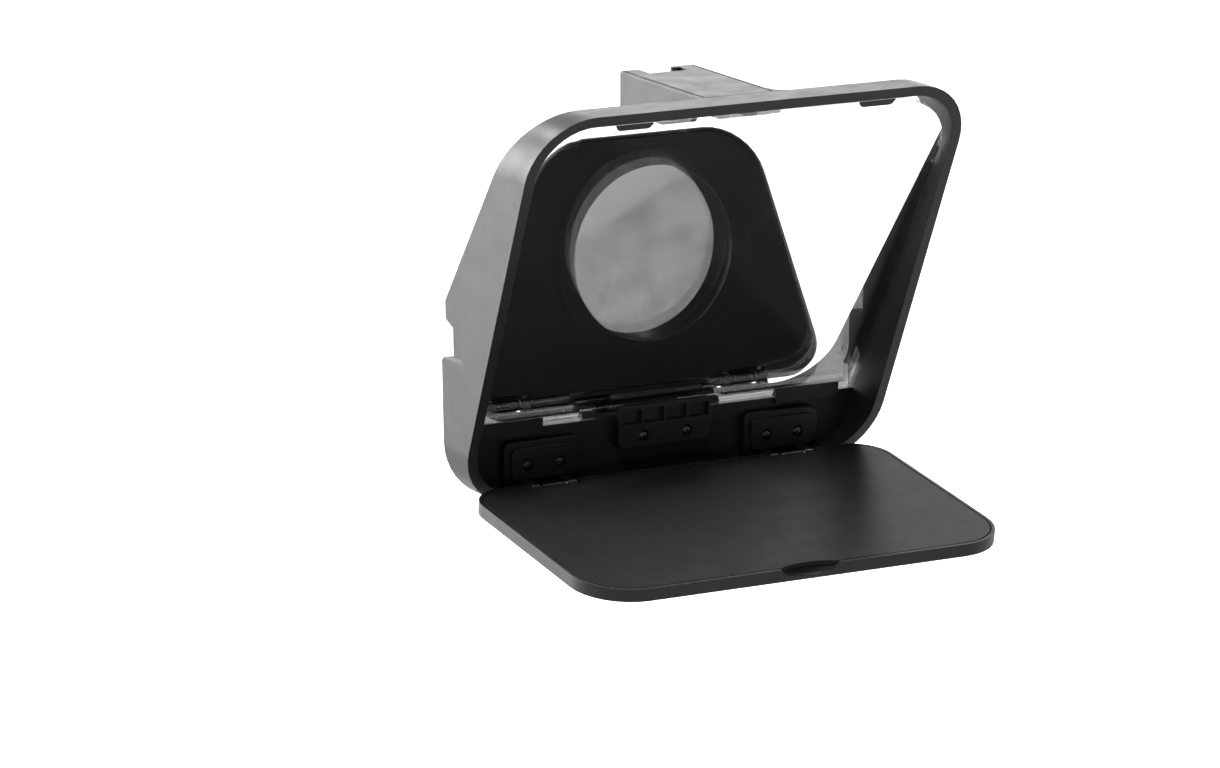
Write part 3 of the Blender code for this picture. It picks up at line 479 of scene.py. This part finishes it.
def round_holes(node):
    """The screw holes and openings in a node, as (axis, a, b, radius, end), with end None if it's through."""
    def along_y(nodes):
        return [("Y", centre(n).x, centre(n).z, SCREW_HOLE, None) for n in nodes]

    def along_z(nodes, radius, end):
        return [("Z", centre(n).x, centre(n).y, radius, end) for n in nodes]

    sill = [n for n in NODES if n.startswith(("block_screw", "centre_screw"))]
    arm = [n for n in NODES if n.startswith("arm_screw")]
    leaf = [n for n in NODES if n.startswith("leaf_screw")]
    under_the_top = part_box("hood_frame")[1].z - 1.3 * MM
    return {
        "hood_frame": along_y(sill) + along_z(arm, SCREW_HOLE, under_the_top),
        "top_arm": along_z(arm, ARM_HOLE, None),
        "lens_board": along_y(leaf) + [("Y", 0.0, 0.0, BOARD_OPENING, None)],
        "board_hinge_leaf": along_y(leaf),
        "rear_hinge_bracket": along_y(["centre_screw_left", "centre_screw_right"]),
    }.get(node, [])


def off_axis(point, hole):
    """Distance of a point from a hole's axis."""
    axis, a, b = hole[:3]
    return math.hypot(point.x - a, (point.y if axis == "Z" else point.z) - b)


def fill_holes(bm, holes):
    """Takes the walls of round holes away and closes the faces that they went through."""
    for hole in holes:
        walls = [face for face in bm.faces
                 if all(abs(off_axis(v.co, hole) - hole[3]) < 0.05 * MM for v in face.verts)]
        bmesh.ops.delete(bm, geom=walls, context="FACES")
    open_edges = [edge for edge in bm.edges if len(edge.link_faces) == 1]
    bmesh.ops.holes_fill(bm, edges=open_edges, sides=0)
    bmesh.ops.recalc_face_normals(bm, faces=bm.faces)


def drill(item, holes):
    """Cuts round holes, right through or up to their end."""
    for axis, a, b, radius, end in holes:
        spread = [v.co["XYZ".index(axis)] for v in item.data.vertices]
        start, stop = min(spread) - 2 * MM, end or max(spread) + 2 * MM
        outline = circle(a, b, radius, RING_SIDES if radius == BOARD_OPENING else HOLE_SIDES)
        bm = bmesh.new()
        stacked(bm, axis, [(outline, start), (outline, stop)])
        cut(item, new_piece("drill", bm))


def cad_copy(node, holes=()):
    """A CAD solid's mesh, with its holes filled and each flat face in one."""
    bm = bmesh.new()
    bm.from_mesh(NODES[node].data)
    bmesh.ops.remove_doubles(bm, verts=bm.verts, dist=SAME_POINT)
    fill_holes(bm, holes)
    bmesh.ops.dissolve_limit(bm, angle_limit=SAME_PLANE, verts=bm.verts, edges=bm.edges)
    return bm


def softened(node, material):
    """A copy of a CAD solid with its edges rounded over."""
    holes = round_holes(node)
    item = piece_from(node + "_finished", cad_copy(node, holes))
    bevel = item.modifiers.new("edges", "BEVEL")
    bevel.width = EDGE_WIDTHS.get(node, EDGE_WIDTH)
    bevel.segments = 3
    bevel.limit_method = "ANGLE"
    bevel.angle_limit = EDGE_ANGLE
    bevel.use_clamp_overlap = True
    bevel.miter_outer = "MITER_ARC"
    apply_modifiers(item)
    drill(item, holes)
    finished(item, node, material)
    flatten_shading(item)


def beam_splitter():
    """The glass plate: a coated front face, a plain back face and a slightly chamfered edge."""
    node = "beam_splitter_glass"
    bm = cad_copy(node)
    sharp = [edge for edge in bm.edges if edge.calc_face_angle(0.0) > math.radians(60)]
    bmesh.ops.bevel(bm, geom=sharp, offset=0.25 * MM, segments=1, affect="EDGES")
    item = piece_from("splitter_plate", bm)
    faces = item.data.materials
    faces.append(window_and_mirror("splitter_coating", (0.96, 0.97, 0.965), (0.97, 0.975, 0.98), 0.0,
                                   coating_share))
    faces.append(window_and_mirror("splitter_edge", (0.985, 0.995, 0.99), (0.8, 0.8, 0.8), 0.02, plain_share))
    for polygon in item.data.polygons:
        front_face = polygon.normal.y < -0.8 and polygon.area > 0.001
        polygon.material_index = 0 if front_face else 1
    finished(item, node)


# ---------------------------------------------------------------- pieces built anew
def sink_screws(item, screws, face, depth):
    """Cuts a countersunk hole along Y for each screw node, from the face inwards."""
    rows = [(SINK_RADIUS, -1.0 * MM), (SINK_RADIUS, SINK_DEPTH), (SCREW_HOLE, SINK_END), (SCREW_HOLE, depth)]
    bm = bmesh.new()
    for at in map(centre, screws):
        stacked(bm, "Y", [(circle(at.x, at.z, radius, HOLE_SIDES), face + deep) for radius, deep in rows])
    cut(item, new_piece("sunk", bm))


def tilted(axis, y, z):
    """A point of the open tray's frame, as world y and z."""
    return (axis.y + y * math.cos(TRAY_DROP) - z * math.sin(TRAY_DROP),
            axis.z + y * math.sin(TRAY_DROP) + z * math.cos(TRAY_DROP))


def tray_hinge_block(word, material):
    """A rounded plate on the sill with a raised panel, two ears and the stop noses under them."""
    node = f"tray_hinge_block_{word}"
    low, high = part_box(node)
    middle = (low.x + high.x) / 2
    axis = centre(f"tray_hinge_pin_{word}")
    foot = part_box("hood_frame")[0].z + BLOCK_FOOT
    front = high.y - BLOCK_THICK
    item = prism_piece(f"hinge_block_{word}", box(low.x, high.x, foot, high.z),
                       [0, 0, BLOCK_RADIUS, BLOCK_RADIUS], "Y", front, high.y, 0.45 * MM)
    face = front - PANEL_RISE
    panel = box(low.x + PANEL_SIDE, high.x - PANEL_SIDE, foot + PANEL_FOOT, high.z - PANEL_HEAD)
    cut(item, prism_piece("panel", panel, [PANEL_RADIUS] * 4, "Y", face, front + JOIN, 0.5 * MM), "UNION")

    turns = [math.radians(a) for a in range(90, 331, 20)]
    ear = [(axis.y + EAR_RADIUS * math.cos(turn), axis.z + EAR_RADIUS * math.sin(turn)) for turn in turns]
    ear += [(axis.y + EAR_HEEL, foot), (front + JOIN, foot), (front + JOIN, axis.z + EAR_RADIUS)]
    nose = [tilted(axis, y * MM, z * MM) for y, z in STOP_NOSE]
    for name, outline, edge, steps in (("ears", ear, 0.2 * MM, 2), ("noses", nose, 0.12 * MM, 1)):
        bm = bmesh.new()
        for side in (-1, 1):
            start, end = sorted((middle + side * EAR_NEAR, middle + side * EAR_FAR))
            soft_prism(bm, outline, [0] * len(outline), "X", start, end, edge, steps)
        cut(item, new_piece(name, bm), "UNION")

    bore = circle(axis.y, axis.z, PIN_HOLE, PIN_HOLE_SIDES)
    cut(item, prism_piece("bore", bore, [0] * len(bore), "X", middle - 20 * MM, middle + 20 * MM,
                          0.1 * MM, 1))
    sink_screws(item, [f"block_screw_{word}_a", f"block_screw_{word}_b"], face, 10 * MM)
    finished(item, node, material)
    flatten_shading(item)


def centre_block(material):
    """The middle block: a base with two screws under a frame of four windows."""
    node = "centre_hinge_block"
    low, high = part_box(node)
    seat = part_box("beam_splitter_glass")[0].z
    item = prism_piece("centre_block", box(low.x, high.x, low.z, seat - BASE_HEAD),
                       [2.6 * MM, 2.6 * MM, 0.6 * MM, 0.6 * MM], "Y", low.y, high.y, 0.4 * MM)
    frame_outline = box(low.x, high.x, seat - FRAME_FOOT, high.z)
    cut(item, prism_piece("frame", frame_outline, [1.0 * MM, 1.0 * MM, 1.6 * MM, 1.6 * MM], "Y",
                          low.y, high.y - FRAME_THIN, 0.4 * MM), "UNION")
    pitch = (high.x - low.x - WINDOW_BAR) / WINDOWS
    bm = bmesh.new()
    for k in range(WINDOWS):
        x = low.x + WINDOW_BAR + k * pitch
        window = box(x, x + pitch - WINDOW_BAR, high.z - WINDOW_LOW, high.z - WINDOW_HIGH)
        soft_prism(bm, window, [0.5 * MM] * 4, "Y", low.y - 1 * MM, low.y + WINDOW_DEPTH, 0.25 * MM, 2)
    cut(item, new_piece("windows", bm))
    sink_screws(item, ["centre_screw_left", "centre_screw_right"], low.y, 12 * MM)
    finished(item, node, material)
    flatten_shading(item)


def screw(node, material):
    """A machine screw: a low domed head with a cross recess, and a shank with a fine thread."""
    low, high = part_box(node)
    across, deep, tall = (high[i] - low[i] for i in range(3))
    upright = tall > deep and tall > across
    length = tall if upright else deep
    head = across / 2
    profile = [(0.0, 0.0), (head * 0.62, 0.03 * MM), (head * 0.9, 0.16 * MM), (head, 0.42 * MM),
               (head, 0.62 * MM), (1.05 * MM, 1.5 * MM)]
    for k in range(int((length - 1.9 * MM) / SCREW_PITCH)):
        y = 1.6 * MM + k * SCREW_PITCH
        profile += [(SCREW_CREST, y), (SCREW_ROOT, y + SCREW_PITCH / 2)]
    profile += [(0.8 * MM, length - 0.1 * MM), (0.7 * MM, length), (0.0, length)]
    item = spindle(node + "_detailed", profile, 28)
    arm = head * 0.52
    for depth, slot in ((0.75 * MM, box(-arm, arm, -RECESS_HALF, RECESS_HALF)),
                        (0.70 * MM, box(-RECESS_HALF, RECESS_HALF, -arm, arm))):
        cut(item, prism_piece("recess", slot, [0] * 4, "Y", -0.5 * MM, depth, 0.05 * MM, 1))
    middle = centre(node)
    if upright:
        item.matrix_world = (Matrix.Translation((middle.x, middle.y, low.z))
                             @ Matrix.Rotation(math.radians(90), 4, "X"))
    else:
        item.matrix_world = (Matrix.Translation((middle.x, low.y, middle.z))
                             @ Matrix.Rotation(SCREW_TURN, 4, "Y"))
    finished(item, node, material, 40.0)


def adapter_ring(outer, material):
    """The lens's ring: a flange, a seat for the board, a threaded boss and a baffled bore."""
    low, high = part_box("adapter_ring")
    bore, boss, seat = outer - RING_BORE, outer - RING_BOSS, outer - RING_SEAT
    board_front, board_back = (corner.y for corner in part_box("lens_board"))
    flange_back, thread = board_front - 0.3 * MM, board_back + 2.8 * MM
    profile = [(bore + 0.4 * MM, low.y), (outer - 1.2 * MM, low.y), (outer - 0.35 * MM, low.y + 0.15 * MM),
               (outer, low.y + 0.5 * MM), (outer, board_front - 0.4 * MM), (outer - 0.15 * MM, flange_back),
               (seat, flange_back), (seat, board_back + 0.4 * MM),
               (boss - 0.5 * MM, board_back + 0.45 * MM), (boss - 0.5 * MM, thread)]
    for k in range(int((high.y - 0.5 * MM - thread) / LENS_PITCH)):
        y = thread + k * LENS_PITCH
        profile += [(boss, y + 0.25 * MM), (boss, y + 0.35 * MM), (boss - 0.42 * MM, y + 0.68 * MM)]
    profile += [(boss - 0.6 * MM, high.y), (bore + 0.3 * MM, high.y)]
    for k in range(int((high.y - low.y - BAFFLE_PITCH) / BAFFLE_PITCH)):
        y = high.y - 0.4 * MM - k * BAFFLE_PITCH
        profile += [(bore + 0.02 * MM, y), (bore + 0.35 * MM, y - 0.7 * MM)]
    ring = lathe("adapter_ring_threaded", profile, RING_SIDES)
    finished(ring, "adapter_ring", material, 24.0)


def ring_keeper(outer, material):
    """The ring's keeper behind the board, knurled on its outer edge."""
    low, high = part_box("ring_keeper")
    inner = outer - KEEPER_BORE
    profile = [(inner, low.y + 0.1 * MM), (inner + 0.2 * MM, low.y), (outer - 0.3 * MM, low.y),
               (outer, low.y + 0.25 * MM), (outer, high.y - 0.25 * MM), (outer - 0.3 * MM, high.y),
               (inner + 0.2 * MM, high.y), (inner, high.y - 0.1 * MM)]
    rim = [i for i, (radius, _) in enumerate(profile) if radius == outer]

    def knurl(k, i):
        return KNURL_GROOVE if i in rim and k % KNURL_STEPS < KNURL_STEPS // 2 else 1.0

    keeper = lathe("keeper_knurled", profile, 2 * RING_SIDES, knurl)
    finished(keeper, "ring_keeper", material, 24.0)


# ---------------------------------------------------------------- studio
def stage(low):
    half, level = FLOOR_HALF, low - FLOOR_DROP
    mesh = bpy.data.meshes.new("studio_floor")
    mesh.from_pydata([(x, y, level) for x, y in box(-half, half, -half, half)], [], [(0, 1, 2, 3)])
    floor = in_scene("studio_floor", mesh)
    g = MaterialGraph("floor_white")
    g.set({"Base Color": (0.93, 0.93, 0.935), "Roughness": 0.75, "Emission Color": WHITE,
           "Emission Strength": g.remap(g.seen_sharply(), 0.0, 1.0, *FLOOR_GLOW),
           "Normal": g.bump(g.noise(40.0, 3.0), 0.02, 1 * MM)})
    mesh.materials.append(g.material)


def lights():
    for name, place, aim, size, watts in SOFTBOXES:
        light = bpy.data.lights.new(name, "AREA")
        light.shape = "RECTANGLE"
        light.size, light.size_y = size
        light.energy = watts
        item = in_scene(name, light)
        item.location = place
        item.rotation_euler = (Vector(aim) - Vector(place)).to_track_quat("-Z", "Y").to_euler()


def world():
    """A white backdrop for the camera and mirrors, and a graded room for the rays that carry light."""
    studio = bpy.data.worlds.new("studio_world")
    bpy.context.scene.world = studio
    studio.use_nodes = True
    g = Graph(studio.node_tree, "Generated")
    backdrop = g.tree.nodes["Background"]
    g.feed(backdrop.inputs["Color"], WHITE)
    g.feed(backdrop.inputs["Strength"], BACKDROP_GLOW)
    direction = g.add("ShaderNodeSeparateXYZ", {"Vector": g.coords})
    along_y, along_z, along_x = [g.remap(direction.outputs[axis], *grade) for axis, *grade in ROOM_GLOW]
    strength = g.math("MULTIPLY", g.math("MULTIPLY", along_y, along_z), along_x)
    room = g.add("ShaderNodeBackground", {"Strength": strength})
    both = g.add("ShaderNodeMixShader", {"Fac": g.seen_sharply(), 1: room.outputs["Background"],
                                         2: backdrop.outputs["Background"]})
    g.feed(g.tree.nodes["World Output"].inputs["Surface"], both.outputs["Shader"])


def camera():
    data = bpy.data.cameras.new("photo_camera")
    data.lens = CAMERA_LENS
    data.sensor_width = 36.0
    data.clip_start, data.clip_end = 0.05, 60.0
    item = in_scene("photo_camera", data)
    item.location = CAMERA_AT
    item.rotation_euler = CAMERA_LOOK.to_track_quat("-Z", "Y").to_euler()
    bpy.context.scene.camera = item


def main():
    materials = make_materials()
    camera()
    lights()
    world()
    stage(min(corner[2] for corner in CAD_BOX))
    beam_splitter()
    for word in ("left", "right"):
        tray_hinge_block(word, materials["hinge_nylon"])
    centre_block(materials["hinge_nylon"])
    low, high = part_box("adapter_ring")
    outer = (high.x - low.x) / 2
    adapter_ring(outer, materials["black_alloy"])
    ring_keeper(outer, materials["black_alloy"])
    done = ("beam_splitter_glass", "centre_hinge_block", "adapter_ring", "ring_keeper",
            "tray_hinge_block_left", "tray_hinge_block_right")
    for node in NODES:
        if "screw" in node:
            screw(node, materials["screw_black"])
        elif node not in done:
            softened(node, materials[SLOT_OF[node]])
    bpy.context.scene.view_settings.view_transform = "Standard"
    bpy.context.scene.view_settings.look = "None"


main()
